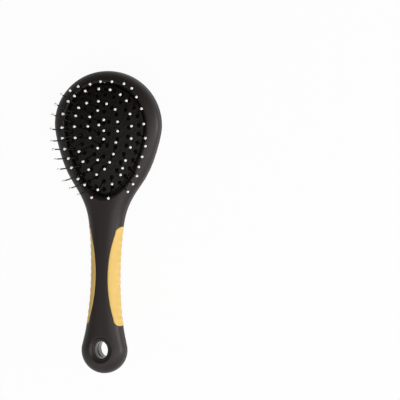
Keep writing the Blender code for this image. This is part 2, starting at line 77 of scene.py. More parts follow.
# Half the body's thickness, and how square its section is, at four places along it.
HALF_THICKNESS = ((END_RADIUS, 10.2), (WAIST[0], 9.8), (NECK[0], 9.9), (HEAD_CENTRE, 10.0))
SQUARENESS = ((END_RADIUS, 2.6), (WAIST[0], 2.3), (NECK[0], 2.4), (HEAD_CENTRE, 3.3))
# How many points to each side the outline is faired over, and where that starts and fades in.
FAIRING_REACH, FAIRING_SPREAD = 9, 3.0
FAIRED_FROM, FAIRING_RAMP = 20, 12
# Rings crowd together where the face turns over into the side.
RING_CROWDING = 1.5
# Edges that turn by more degrees than this stay sharp.
CREASE = 38


def curve_through(stations, at):
    """A smooth curve through stations (place, value), level at its far end, read at many places."""
    places, values = np.array(stations, float).T
    slopes = np.gradient(values, places)
    slopes[-1] = 0
    at = np.clip(at, places[0], places[-1])
    i = np.clip(np.searchsorted(places, at) - 1, 0, len(places) - 2)
    span = places[i + 1] - places[i]
    t = (at - places[i]) / span
    start = (1 + 2 * t) * (1 - t) ** 2 * values[i] + t * (1 - t) ** 2 * span * slopes[i]
    end = t * t * (3 - 2 * t) * values[i + 1] + t * t * (t - 1) * span * slopes[i + 1]
    return start + end


def width_stations():
    """Half widths along the body's side, between the end's round cap and the head's centre."""
    turn = math.radians(END_TURN)
    cap_y, cap_x = END_RADIUS * (1 + math.sin(turn)), END_RADIUS * math.cos(turn)
    stations = [
        (cap_y + (WAIST[0] - cap_y) * a, WAIST[1] + (cap_x - WAIST[1]) * b)
        for a, b in FLARE_SHARES
    ]
    stations += [
        (WAIST[0] + (NECK[0] - WAIST[0]) * a, WAIST[1] + (NECK[1] - WAIST[1]) * b)
        for a, b in GRIP_SHARES[1:]
    ]
    return stations + [
        (NECK[0] + (HEAD_CENTRE - NECK[0]) * a, NECK[1] + (HEAD_HALF_WIDTH - NECK[1]) * b)
        for a, b in TAPER_SHARES[1:]
    ]


def right_outline():
    """The body's right outline, from the handle's end to the head's top, with its side faired."""
    cap = np.radians(np.arange(-90, END_TURN, 3.0))
    side = np.arange(END_RADIUS * (1 + math.sin(math.radians(END_TURN))), HEAD_CENTRE, 0.9)
    head = np.radians(np.arange(0, 90.1, 1.5))
    head_x, head_y = HEAD_HALF_WIDTH * np.cos(head), HEAD_CENTRE + HEAD_TOP_REACH * np.sin(head)
    points = np.vstack(
        (
            np.stack((END_RADIUS * np.cos(cap), END_RADIUS * (1 + np.sin(cap))), 1),
            np.stack((curve_through(width_stations(), side), side), 1),
            np.stack((head_x, head_y), 1),
        )
    )
    points[0, 0] = points[-1, 0] = 0
    near = np.arange(-FAIRING_REACH, FAIRING_REACH + 1)
    weights = np.exp(-0.5 * (near / FAIRING_SPREAD) ** 2)
    padded = np.pad(points, ((FAIRING_REACH, FAIRING_REACH), (0, 0)), mode="edge")
    faired = np.stack([np.convolve(row, weights / weights.sum(), "valid") for row in padded.T], 1)
    past_end = np.clip((points[:, 1] - FAIRED_FROM) / FAIRING_RAMP, 0, 1)
    short_of_head = np.clip((HEAD_CENTRE - points[:, 1]) / FAIRING_RAMP, 0, 1)
    return points + (faired - points) * (past_end * short_of_head)[:, None]


OUTLINE = right_outline()
CENTRES = np.clip(OUTLINE[:, 1], END_RADIUS, HEAD_CENTRE)


def half_width(y):
    """Half the body's width at a place along its side."""
    side = (OUTLINE[:, 1] >= END_RADIUS - 0.5) & (OUTLINE[:, 1] <= HEAD_CENTRE + 0.1)
    return np.interp(y, OUTLINE[side, 1], OUTLINE[side, 0])


def face_height(x, y):
    """How high the body's face stands off the parting plane over a point."""
    centre = np.clip(y, END_RADIUS, HEAD_CENTRE)
    reach = np.where(y > HEAD_CENTRE, HEAD_TOP_REACH, END_RADIUS)
    share = np.clip(np.hypot(x / half_width(centre), (y - centre) / reach), 0, 1)
    power = curve_through(SQUARENESS, centre)
    return curve_through(HALF_THICKNESS, centre) * (1 - share**power) ** (1 / power)


def at_height(outline, z):
    """A flat outline as a ring at one height, or at one height a point."""
    return np.column_stack((outline, np.broadcast_to(z, len(outline))))


def whole_ring(right):
    """The right half of a ring with its mirror image."""
    return np.vstack((right, right[-2:0:-1] * (-1, 1, 1)))


def edge_ring(inset, z):
    """The body's outline, drawn in by an inset, at one height."""
    x, y = OUTLINE.T
    share = 1 - inset / np.hypot(x, y - CENTRES)
    drawn_in = np.stack((x * share, CENTRES + (y - CENTRES) * share), 1)
    return whole_ring(at_height(drawn_in, float(z)))


def body_ring(way, side, inset=0.0, step=1):
    """One ring round the body, part of the way up from its outline to its middle."""
    x, y, centre = OUTLINE[::step, 0], OUTLINE[::step, 1], CENTRES[::step]
    risen, left = way**RING_CROWDING, (1 - way) ** RING_CROWDING
    turn = math.pi / 2 * risen / (risen + left)
    power = curve_through(SQUARENESS, centre)
    share = abs(math.cos(turn)) ** (2 / power) * (1 - inset / np.hypot(x, y - centre))
    z = side * math.sin(turn) ** (2 / power) * (curve_through(HALF_THICKNESS, centre) - inset)
    return whole_ring(np.stack((x * share, centre + (y - centre) * share, z), 1))


def skin(rings, caps=(True, True)):
    """Points and faces of a skin over closed rings of equal count, with flat caps."""
    n, last = len(rings[0]), (len(rings) - 1) * len(rings[0])
    faces = [
        (r * n + k, r * n + (k + 1) % n, (r + 1) * n + (k + 1) % n, (r + 1) * n + k)
        for r in range(len(rings) - 1)
        for k in range(n)
    ]
    if caps[0]:
        faces.append(tuple(range(n)))
    if caps[1]:
        faces.append(tuple(range(last, last + n)))
    return np.vstack(rings), faces


def add_piece(name, points, faces, finish=None, crease=CREASE):
    """A closed, outward-facing mesh in the shared frame, with soft shading up to its creases."""
    mesh = bpy.data.meshes.new(name)
    placed = (np.asarray(points) + (0, -BODY_LENGTH / 2, BRISTLE_REACH)) * MM
    mesh.from_pydata(placed.tolist(), [], faces)
    form = bmesh.new()
    form.from_mesh(mesh)
    bmesh.ops.remove_doubles(form, verts=form.verts, dist=0.01 * MM)
    bmesh.ops.recalc_face_normals(form, faces=form.faces)
    form.to_mesh(mesh)
    form.free()
    piece = bpy.data.objects.new(name, mesh)
    bpy.context.scene.collection.objects.link(piece)
    soften(piece, crease)
    if finish:
        mesh.materials.append(finish)
    return piece


def soften(piece, crease=CREASE):
    """Shades a piece smooth, but for the edges that turn by more than the crease."""
    piece.data.shade_smooth()
    piece.data.set_sharp_from_angle(angle=math.radians(crease))


def cut_away(piece, cutter):
    """Cuts the cutter's shape out of a piece, and removes the cutter."""
    modifier = piece.modifiers.new("cut", "BOOLEAN")
    modifier.object = cutter
    bpy.context.view_layer.update()
    cut = piece.evaluated_get(bpy.context.evaluated_depsgraph_get())
    shape = bpy.data.meshes.new_from_object(cut)
    piece.modifiers.clear()
    piece.data = shape
    bpy.data.objects.remove(cutter)


# The opening's half width, and its reach above and below the head's centre.
OPENING_SIZES = np.array((29.4, 29.6, 49.0))
OPENING_FLOOR = -4.0
# How far the handles of the foot's curve reach: down from its widest place, and out at its foot.
EGG_HANDLES = (0.41, 0.475)
# Width, height and squareness of the rim's lip round the head, and at the opening's foot.
HEAD_LIP, FOOT_LIP = (1.4, 1.7, 2.0), (2.9, 3.2, 1.4)
# From this place along the head downwards, one lip turns into the other over this length.
FOOT_LIP_BELOW, LIP_CHANGE = 152.0, 15.0
LIP_TURNS = np.radians((0, 5, 12, 20, 30, 40, 50, 60, 68, 75, 81))
# Cutters run out past the face by this much, and end at this height.
CUT_MARGIN, CUT_TOP = 7.0, 16.0


def egg(sizes, steps=200, handles=EGG_HANDLES):
    """Points round an egg about the head's centre: half an ellipse above, a cubic curve below."""
    width, top, foot = sizes
    side, base = handles
    half = steps // 2
    right = []
    for k in range(half):
        t = 2 * k / half - 1
        if t <= 0:
            right.append((width * math.cos(t * math.pi / 2), -top * math.sin(t * math.pi / 2)))
        else:
            u = 1 - t
            x = width * (u**3 + 3 * u * u * t + 3 * u * t * t * base)
            right.append((x, -foot * (3 * u * u * t * side + 3 * u * t * t + t**3)))
    right.append((0, -foot))
    right[0] = (0, top)
    return np.array(right + [(-x, y) for x, y in reversed(right[1:-1])]) + (0, HEAD_CENTRE)


def lip_ring(lip, turn):
    """One ring part of the way up a lip that follows the face."""
    width, height, squareness = lip
    out = width * (1 - math.cos(turn) ** (2 / squareness))
    up = height * (math.sin(turn) ** (2 / squareness) - 1)
    return at_height(egg(OPENING_SIZES + out), face_height(*egg(OPENING_SIZES + width).T) + up)


def opening_cutter(side):
    """The opening for a pad, whose eased lip widens at the foot, where the pins lean over it."""
    foot = np.clip((FOOT_LIP_BELOW - egg(OPENING_SIZES)[:, 1:]) / LIP_CHANGE, 0, 1)
    foot = foot * foot * (3 - 2 * foot)
    rings = [at_height(egg(OPENING_SIZES), OPENING_FLOOR)]
    for turn in LIP_TURNS:
        rings.append(lip_ring(HEAD_LIP, turn) * (1 - foot) + lip_ring(FOOT_LIP, turn) * foot)
    beyond = egg(OPENING_SIZES + CUT_MARGIN)
    rings += [at_height(beyond, rings[-1][:, 2] + 1.0), at_height(beyond, CUT_TOP)]
    return add_piece("opening_cutter", *skin([ring * (1, 1, side) for ring in rings]))


HOLE_CENTRE, HOLE_HALF_WIDTH, HOLE_HALF_HEIGHT = 16.9, 4.9, 6.1
HOLE_STEPS = 72
# The hole's eased lip, the flat land round it, and the run of the dish that rises to the face.
HOLE_LIP, LAND_WIDTH, DISH_RUN = 0.7, 1.3, 2.2
FRONT_LAND_Z = 8.2
# Between these heights the bore narrows, because its wall is stepped back where the shells part.
BORE_STEP = (0.85, 1.1)
DISH_SHARES = (0.0, 0.12, 0.25, 0.4, 0.55, 0.7, 0.82, 0.9)
# The dish comes out this far above the face, and rises by at least so much.
DISH_OVERSHOOT, LEAST_RISE = 0.12, 0.1


def hole_ring(grow, z):
    """A ring round the hang hole, wider than it by so much."""
    turn = np.arange(HOLE_STEPS) * math.tau / HOLE_STEPS
    x = (HOLE_HALF_WIDTH + grow) * np.cos(turn)
    y = HOLE_CENTRE + (HOLE_HALF_HEIGHT + grow) * np.sin(turn)
    return at_height(np.stack((x, y), 1), z)


def hole_cutter(side, land):
    """The hang hole, stepped back where the shells part, with its eased lip and its dish."""
    rings = [hole_ring(HOLE_LIP, -side * 3.0)]
    rings += [hole_ring(HOLE_LIP, side * BORE_STEP[0]), hole_ring(0.0, side * BORE_STEP[1])]
    for turn in np.radians((0, 22.5, 45, 67.5, 90)):
        z = land - HOLE_LIP + HOLE_LIP * math.sin(turn)
        rings.append(hole_ring(HOLE_LIP * (1 - math.cos(turn)), side * z))
    face = face_height(*hole_ring(LAND_WIDTH + DISH_RUN, 0.0)[:, :2].T)
    rise = np.maximum(face + DISH_OVERSHOOT - land, LEAST_RISE)
    for share in DISH_SHARES:
        z = land + rise * share * share * (3 - 2 * share)
        rings.append(hole_ring(LAND_WIDTH + DISH_RUN * share, side * z))
    beyond = LAND_WIDTH + DISH_RUN * DISH_SHARES[-1] + 2.5
    rings += [hole_ring(beyond, side * (land + rise + 0.9)), hole_ring(beyond, side * CUT_TOP)]
    return add_piece("hole_cutter", *skin(rings))


PARTING_GAP, SEAM_DEPTH, TONGUE_REACH = 0.3, 1.2, 0.1
# Insets and heights of the eased edge along the seam.
SEAM_EDGE = ((0.3, PARTING_GAP / 2), (0.08, 0.26), (0.0, 0.45))
FACE_WAYS = np.linspace(0.08, 1, 24)


def shell_form(name, side, finish):
    """Half of the body: a seam edge eased at the parting line, then rings up over the face."""
    rings = [edge_ring(SEAM_DEPTH, side * PARTING_GAP / 2)]
    if side == FRONT:
        rings.insert(0, edge_ring(SEAM_DEPTH, -TONGUE_REACH))
    rings += [edge_ring(inset, side * z) for inset, z in SEAM_EDGE]
    rings += [body_ring(way, side) for way in FACE_WAYS]
    return add_piece(name, *skin(rings, (True, False)), finish)


class Shade:
    """A number that changes over a surface, so that sums on it can be written as sums."""

    def __init__(self, finish, socket):
        self.finish, self.socket = finish, socket

    def worked(self, operation, first, second, clamp=False):
        settings = {"operation": operation, "use_clamp": clamp}
        return self.finish.node("ShaderNodeMath", settings, {0: first, 1: second})

    def __add__(self, other):
        return self.worked("ADD", self, other)

    def __sub__(self, other):
        return self.worked("SUBTRACT", self, other)

    def __rsub__(self, other):
        return self.worked("SUBTRACT", other, self)

    def __mul__(self, other):
        return self.worked("MULTIPLY", self, other)

    def clamped(self):
        """The same number, kept between 0 and 1."""
        return self.worked("ADD", self, 0.0, clamp=True)

    __radd__, __rmul__ = __add__, __mul__


class Finish:
    """One material. Its nodes are added by kind, with their settings and then their sockets."""

    def __init__(self, name, **constants):
        self.material = bpy.data.materials.new(name)
        self.material.use_nodes = True
        self.tree = self.material.node_tree
        self.shader = self.tree.nodes["Principled BSDF"]
        for socket, value in constants.items():
            self.shader.inputs[socket.replace("_", " ")].default_value = value
        self.place = self.node("ShaderNodeTexCoord", {}, {}, "Object")

    def node(self, kind, settings, sockets, output=0):
        """A new node with its settings and sockets, as the number that it gives."""
        node = self.tree.nodes.new(kind)
        for setting, value in settings.items():
            setattr(node, setting, value)
        for socket, value in sockets.items():
            self.feed(node.inputs[socket], value)
        return Shade(self, node.outputs[output])

    def feed(self, socket, value):
        if isinstance(value, Shade):
            self.tree.links.new(value.socket, socket)
        else:
            socket.default_value = value

    def noise(self, scale, detail):
        """Clouds or grain over the surface, about 0.5 on the whole."""
        sockets = {"Vector": self.place, "Scale": scale, "Detail": detail}
        return self.node("ShaderNodeTexNoise", {}, sockets)

    def between(self, share, low, high):
        """A colour part of the way between two, of which the first may be worked out itself."""
        first = low if isinstance(low, Shade) else (*low, 1)
        sockets = {0: share, 6: first, 7: (*high, 1)}
        return self.node("ShaderNodeMix", {"data_type": "RGBA"}, sockets, 2)

    def wear(self, **sockets):
        """Sets what changes over the surface on the shader's own sockets."""
        for socket, value in sockets.items():
            self.feed(self.shader.inputs[socket.replace("_", " ")], value)

    def relief(self, height, distance, strength):
        """Fine relief that follows a height, of a distance in millimetres."""
        bump = {"Height": height, "Distance": distance * MM, "Strength": strength}
        self.feed(self.shader.inputs["Normal"], self.node("ShaderNodeBump", {}, bump))


# The bore is glossy within this reach of its middle, and the gloss ends this steeply.
BORE_GLOSS_REACH, BORE_GLOSS_SLOPE = 8.5, 900.0


def black_plastic():
    """Satin black: a fine grain, soft clouds of handling gloss, and a smooth hang hole."""
    finish = Finish("satin_black_plastic", Specular_IOR_Level=0.36)
    hole = (0, (HOLE_CENTRE - BODY_LENGTH / 2) * MM, BRISTLE_REACH * MM)
    measure = {"operation": "DISTANCE"}
    to_hole = finish.node("ShaderNodeVectorMath", measure, {0: finish.place, 1: hole}, "Value")
    bore = ((BORE_GLOSS_REACH * MM - to_hole) * BORE_GLOSS_SLOPE).clamped()
    clouds = finish.noise(38.0, 3.0)
    grain = finish.noise(2600.0, 2.0)
    rubbed = ((finish.noise(420.0, 4.0) - 0.55) * 6.0).clamped()
    finish.wear(
        Base_Color=finish.between(clouds, (0.0105, 0.0064, 0.005), (0.0155, 0.01, 0.0084)),
        Roughness=0.38 + clouds * 0.1 + grain * 0.06 - rubbed * 0.03 - bore * 0.3,
    )
    finish.relief(grain + rubbed * 0.2, 0.02, 0.5)
    return finish.material


BLACK_PLASTIC = black_plastic()
front_shell = shell_form("front_shell_skin", FRONT, BLACK_PLASTIC)
cut_away(front_shell, opening_cutter(FRONT))
cut_away(front_shell, hole_cutter(FRONT, FRONT_LAND_Z))
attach(front_shell, "handle")
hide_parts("front_shell")


# Back shell: the other half of the body, from the same black plastic and the same mould family.
# Its face has the same opening, for the bristle plate, and the same dish round the hang hole.

BACK_LAND_Z = 8.1

back_shell = shell_form("back_shell_skin", BACK, BLACK_PLASTIC)
cut_away(back_shell, opening_cutter(BACK))
cut_away(back_shell, hole_cutter(BACK, BACK_LAND_Z))
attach(back_shell, "handle")
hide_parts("back_shell")


# Grips: two strips of soft yellow rubber, moulded into the handle's sides over the parting line.
# They fill windows in the shells, whose bowed edges leave a black strip down front and back,
# and shallow ribs across the sides give the fingers something to hold.

GRIP_CENTRE, GRIP_HALF_LENGTH, GRIP_CORNER, GRIP_DEPTH = 68.3, 34.7, 4.8, 1.8
# Half the width of the black strip between the grips, and the bow of its edges.
GRIP_STRIP, GRIP_BOW_RADIUS = 4.3, 102.0
# The rubber stops this far from its window's edge, and its inner skin this far from the floor.
GRIP_FIT, FLOOR_FIT = 0.1, 0.3
WINDOW_REACH, WINDOW_HALF_DEPTH = 30, 14
# How far in the rubber's edge is rolled over, how deep it starts, and how much it rises.
EDGE_ROLL, EDGE_SINK, EDGE_RISE = 0.4, 0.25, 0.37
RIB_PITCH, RIB_HEIGHT = 5.0, 0.24
# Places across the grip and just inside its ends, closer together towards the edges.
EDGE_SHARES = (1, 0.994, 0.98, 0.96, 0.93, 0.89)
END_STEPS = np.array((0.0, 0.05, 0.15, 0.3, 0.5, 0.75))


def grip_edge(y):
    """How far the grip's inner edge stands from the handle's middle: a bow with rounded ends."""
    away = np.abs(y - GRIP_CENTRE)
    straight = GRIP_HALF_LENGTH - GRIP_CORNER
    fall = np.sqrt(GRIP_BOW_RADIUS**2 - np.minimum(away, straight) ** 2)
    bow = GRIP_STRIP + GRIP_BOW_RADIUS - fall
    turned = np.clip((away - straight) / GRIP_CORNER, 0, 1)
    return bow + GRIP_CORNER * (1 - np.sqrt(1 - turned**2))


def grip_window(side_x):
    """What the shells lose for a grip: its window, down to the depth of the rubber."""
    ends = np.arcsin(np.linspace(-1, 1, 15)) / (math.pi / 2)
    straight = GRIP_HALF_LENGTH - GRIP_CORNER
    low = -straight - GRIP_CORNER * np.sin(np.linspace(math.pi / 2, 0, 9))
    y = GRIP_CENTRE + np.concatenate((low, ends[1:-1] * straight, -low[::-1]))
    inner = np.stack((grip_edge(y), y), 1)
    outline = np.vstack((inner, ((WINDOW_REACH, y[-1]), (WINDOW_REACH, y[0])))) * (side_x, 1)
    walls = [at_height(outline, z) for z in (-WINDOW_HALF_DEPTH, WINDOW_HALF_DEPTH)]
    window = add_piece("grip_window", *skin(walls))
    ways = np.linspace(0, 1, 9)
    rings = [body_ring(way, BACK, GRIP_DEPTH, 4) for way in ways[::-1]]
    rings += [body_ring(way, FRONT, GRIP_DEPTH, 4) for way in ways[1:]]
    cut_away(window, add_piece("handle_core", *skin(rings, (False, False))))
    return window


def grip_form(name, side_x, finish):
    """A grip: its outer skin on the handle's own form, with rolled edges, and its inner skin."""
    low = GRIP_CENTRE - GRIP_HALF_LENGTH + GRIP_FIT
    high = GRIP_CENTRE + GRIP_HALF_LENGTH - GRIP_FIT
    between = np.arange(low + 1.1, high - 1.0, 0.7)
    y = np.concatenate((low + END_STEPS, between, high - END_STEPS[::-1]))
    y = y[half_width(y) - grip_edge(y) - GRIP_FIT > 0.05]
    far_edge = np.negative(EDGE_SHARES[::-1])
    across = np.concatenate((EDGE_SHARES, np.linspace(0.84, -0.84, 23), far_edge))
    wide, power = half_width(y)[:, None], curve_through(SQUARENESS, y)[:, None]
    thick = curve_through(HALF_THICKNESS, y)[:, None]
    share = np.clip((grip_edge(y)[:, None] + GRIP_FIT) / wide, 0, 1)
    turn = np.arccos(share ** (power / 2)) * across[None, :]
    x = wide * np.cos(turn) ** (2 / power)
    z = thick * np.sign(turn) * np.abs(np.sin(turn)) ** (2 / power)
    skin_points = np.stack((x, np.broadcast_to(y[:, None], x.shape), z), 2)
    out = np.cross(np.gradient(skin_points, axis=1), np.gradient(skin_points, axis=0))
    out /= np.maximum(np.linalg.norm(out, axis=2, keepdims=True), 1e-9)
    out *= np.where(out[..., :1] < 0, -1, 1)
    rim = np.vstack((skin_points[0], skin_points[-1], skin_points[:, 0], skin_points[:, -1]))
    gap = np.min(np.linalg.norm(skin_points[:, :, None] - rim[None, None], axis=3), axis=2)
    roll = np.sqrt(1 - (1 - np.clip(gap / EDGE_ROLL, 0, 1)) ** 2)
    # The ribs fade out near the edge, and as the side turns over into the faces.
    ribbed = np.clip(gap / 3 - 0.4, 0, 1)
    ribs = np.cos((y[:, None] - GRIP_CENTRE) * math.tau / RIB_PITCH) * ribbed
    ribs = ribs * np.clip(1.6 - np.abs(z) / 4, 0, 1)
    height = -EDGE_SINK + EDGE_RISE * roll + RIB_HEIGHT * (ribs - ribbed)
    outer = skin_points + out * height[..., None]
    inner = skin_points - out * (GRIP_DEPTH - FLOOR_FIT)
    rows, columns = x.shape
    index = np.arange(rows * columns).reshape(rows, columns)
    faces = []
    for sheet in (index, index + rows * columns):
        corners = (sheet[:-1, :-1], sheet[1:, :-1], sheet[1:, 1:], sheet[:-1, 1:])
        faces += np.stack(corners, 2).reshape(-1, 4).tolist()
    loop = np.concatenate((index[0, :-1], index[:-1, -1], index[-1, :0:-1], index[:0:-1, 0]))
    for a, b in zip(loop, np.roll(loop, -1)):
        faces.append((int(a), int(b), int(b) + rows * columns, int(a) + rows * columns))
    points = np.vstack((outer.reshape(-1, 3), inner.reshape(-1, 3))) * (side_x, 1, 1)
    return add_piece(name, points, faces, finish, crease=60)


def yellow_rubber():
    """Warm yellow rubber: matte and a little powdery, with random pale patches of painted sheen
    that are a little glossier.
    """
    finish = Finish(
        "yellow_grip_rubber", Specular_IOR_Level=0.35, Sheen_Weight=0.12, Sheen_Roughness=0.5
    )
    clouds = finish.noise(70.0, 3.0)
    powder = finish.noise(1900.0, 3.0)
    # Pale patches at random: a sheen painted into the colour, where the rubber is also a little
    # glossier.
    painted_sheen_and_gloss = ((finish.noise(160.0, 4.0) - 0.5) * 3.0).clamped()
    colour = finish.between(clouds, (0.7, 0.452, 0.112), (0.76, 0.515, 0.154))
    finish.wear(
        Base_Color=finish.between(painted_sheen_and_gloss * 0.3, colour, (0.8, 0.62, 0.28)),
        Roughness=0.55 + powder * 0.14 - painted_sheen_and_gloss * 0.06,
    )
    finish.relief(powder + clouds * 0.5, 0.03, 0.5)
    return finish.material


YELLOW_RUBBER = yellow_rubber()
for side_x, name in ((1, "right_grip"), (-1, "left_grip")):
    for shell in (front_shell, back_shell):
        cut_away(shell, grip_window(side_x))
    grip = grip_form(f"{name}_rubber", side_x, YELLOW_RUBBER)
    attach(grip, "handle")
    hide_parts(name)

for shell in (front_shell, back_shell):
    soften(shell)


# Air cushion: a domed pad of black rubber over a pocket of air, held by its flange in the rim.
# Each pin is pushed through a small hole, and the rubber puckers down round it.
# On the real brush the crown rides with the pins when they are pressed, and its edge stays in the
# shell; here the pad is one fixed shape.

PAD_INSET, PAD_EDGE_Z = 1.3, 6.4
PAD_STEPS = 360
# The dome ends at this share of the pad, and the edge rolls down from there by so much.
ROLL_SHARE, ROLL_DROP = 0.955, 1.7
# The foot: how far each ring stands out from the pad's edge, and its height.
PAD_FOOT = ((0.0, 4.9), (1.15, 4.6), (1.15, 3.4), (0.0, 3.4))
CUSHION_CREST = 10.6
# The rings from the rim inwards: how many stand in each, and its size in shares of the opening's.
RING_NAMES = ("outer", "second", "third", "centre")
RING_COUNTS = (30, 24, 18, 8)
RING_WIDTH_SHARES = (0.825, 0.595, 0.355, 0.127)
RING_TOP_SHARES = (0.84, 0.72, 0.49, 0.33)
RING_FOOT_SHARES = (0.9, 0.785, 0.585, 0.43)
OUTER_RING_HANDLES = (0.47, 0.62)
# Two more stand on the middle line, this far up from the centre in shares of the foot's reach.
SPINE_SHARES = (0.04, -0.22)
PUCKER_DEPTH, PUCKER_RADIUS = 1.3, 1.15
SWELL_HEIGHT, SWELL_RADIUS, SWELL_WIDTH = 0.1, 2.1, 0.6


def ring_roots(ring):
    """Where the pins or tufts of one ring stand, and which way is out of the ring there."""
    sizes = OPENING_SIZES * (RING_WIDTH_SHARES[ring], RING_TOP_SHARES[ring], RING_FOOT_SHARES[ring])
    points = egg(sizes, 96, OUTER_RING_HANDLES if RING_NAMES[ring] == "outer" else EGG_HANDLES)
    run = np.roll(points, -1, axis=0) - np.roll(points, 1, axis=0)
    out = np.stack((-run[:, 1], run[:, 0]), 1) / np.linalg.norm(run, axis=1)[:, None]
    loop = np.column_stack((np.vstack((points, points[:1])), np.vstack((out, out[:1]))))
    strides = np.linalg.norm(np.diff(loop[:, :2], axis=0), axis=1)
    walked = np.concatenate(([0], np.cumsum(strides)))
    stops = walked[-1] * np.arange(RING_COUNTS[ring]) / RING_COUNTS[ring]
    roots = np.stack([np.interp(stops, walked, column) for column in loop.T], 1)
    if RING_NAMES[ring] == "centre":
        spine = [(0, HEAD_CENTRE + OPENING_SIZES[2] * share, 0, 0) for share in SPINE_SHARES]
        roots = np.vstack((roots, spine))
    return roots


ALL_ROOTS = np.vstack([ring_roots(ring)[:, :2] for ring in range(len(RING_NAMES))])


def dome(share, crest):
    """Height of a pad's face, from its crest to its edge."""
    return PAD_EDGE_Z + (crest - PAD_EDGE_Z) * (1 - share**2)


def root_height(x, y, crest):
    """Height of the pad's face over a root."""
    reach = np.where(y > HEAD_CENTRE, OPENING_SIZES[1], OPENING_SIZES[2]) - PAD_INSET
    return dome(np.hypot(x / (OPENING_SIZES[0] - PAD_INSET), (y - HEAD_CENTRE) / reach), crest)


def from_root(places):
    """How far each place is from the nearest root."""
    return np.linalg.norm(places[:, None] - ALL_ROOTS[None], axis=2).min(axis=1)


def pad_form(name, side, crest, dent, finish):
    """A pad: a domed face with a dent at every root, a rolled edge, and a foot in the groove."""
    edge = egg(OPENING_SIZES - PAD_INSET, PAD_STEPS) - (0, HEAD_CENTRE)
    rings = []
    for share in np.linspace(0.02, ROLL_SHARE, 110):
        outline = edge * share + (0, HEAD_CENTRE)
        rings.append(at_height(outline, side * (dome(share, crest) - dent(from_root(outline)))))
    for turn in np.radians((15, 30, 45, 60, 75, 90)):
        outline = edge * (ROLL_SHARE + (1 - ROLL_SHARE) * math.sin(turn)) + (0, HEAD_CENTRE)
        z = dome(ROLL_SHARE, crest) - ROLL_DROP * (1 - math.cos(turn))
        rings.append(at_height(outline, side * z))
    for flange, z in PAD_FOOT:
        rings.append(at_height(egg(OPENING_SIZES - PAD_INSET + flange, PAD_STEPS), side * z))
    pad = add_piece(name, *skin(rings), finish, crease=50)
    # How far each point is sunk in a dent, for the painted shade in the cushion's puckers.
    depth = pad.data.attributes.new("sunk", "FLOAT", "POINT")
    corners = [v.co for v in pad.data.vertices]
    places = np.array([(at.x / MM, at.y / MM + BODY_LENGTH / 2) for at in corners])
    depth.data.foreach_set("value", np.clip(dent(from_root(places)), 0, 1))
    return pad


def pin_pucker(away):
    """Rubber drawn down to a pin in a steep pucker, with a faint swelling round it."""
    swelling = SWELL_HEIGHT * np.exp(-(((away - SWELL_RADIUS) / SWELL_WIDTH) ** 2))
    return PUCKER_DEPTH * np.exp(-((away / PUCKER_RADIUS) ** 3)) - swelling


def cushion_rubber():
    """Soft black rubber: duller than the shell, a little dusty, with painted shade down in its
    puckers.
    """
    finish = Finish("black_cushion_rubber", Specular_IOR_Level=0.2)
    clouds = finish.noise(55.0, 3.0)
    grain = finish.noise(1500.0, 3.0)
    dust = ((finish.noise(700.0, 2.0) - 0.62) * 5.0).clamped()
    colour = finish.between(clouds, (0.005, 0.003, 0.0022), (0.0082, 0.0056, 0.0046))
    dusty = finish.between(dust * 0.35, colour, (0.035, 0.033, 0.03))
    # Painted shade: the colour goes nearly black, and the rubber rougher, as it sinks into each
    # pucker.
    sunk = finish.node("ShaderNodeAttribute", {"attribute_name": "sunk"}, {}, "Fac")
    finish.wear(
        Base_Color=finish.between(sunk * 0.9, dusty, (0.001, 0.001, 0.001)),
        Roughness=0.4 + clouds * 0.08 + grain * 0.1 + sunk * 0.3,
    )
    finish.relief(grain, 0.03, 0.6)
    return finish.material


cushion = pad_form("air_cushion", FRONT, CUSHION_CREST, pin_pucker, cushion_rubber())
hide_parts("pin_cushion")
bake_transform(cushion)


# Pins: drawn steel wires, one to a pucker, in four rings and two on the middle line.
# Those nearer the rim lean further out, and no two stand quite alike.
# Each wire is headed under the rubber, and its tip is dipped into a white nylon ball.

PIN_LENGTH, PIN_RADIUS, BALL_RADIUS = 17.3, 0.45, 0.9
# The balls stop this far short of the pins' full length.
TIP_EASE = 0.45
BALL_REACH = PIN_LENGTH - BALL_RADIUS - TIP_EASE
# The collar: how much wider than the wire it is, and how far above the ball's foot.
COLLAR = ((0.02, -0.4), (0.06, -0.3), (0.08, 0.04))
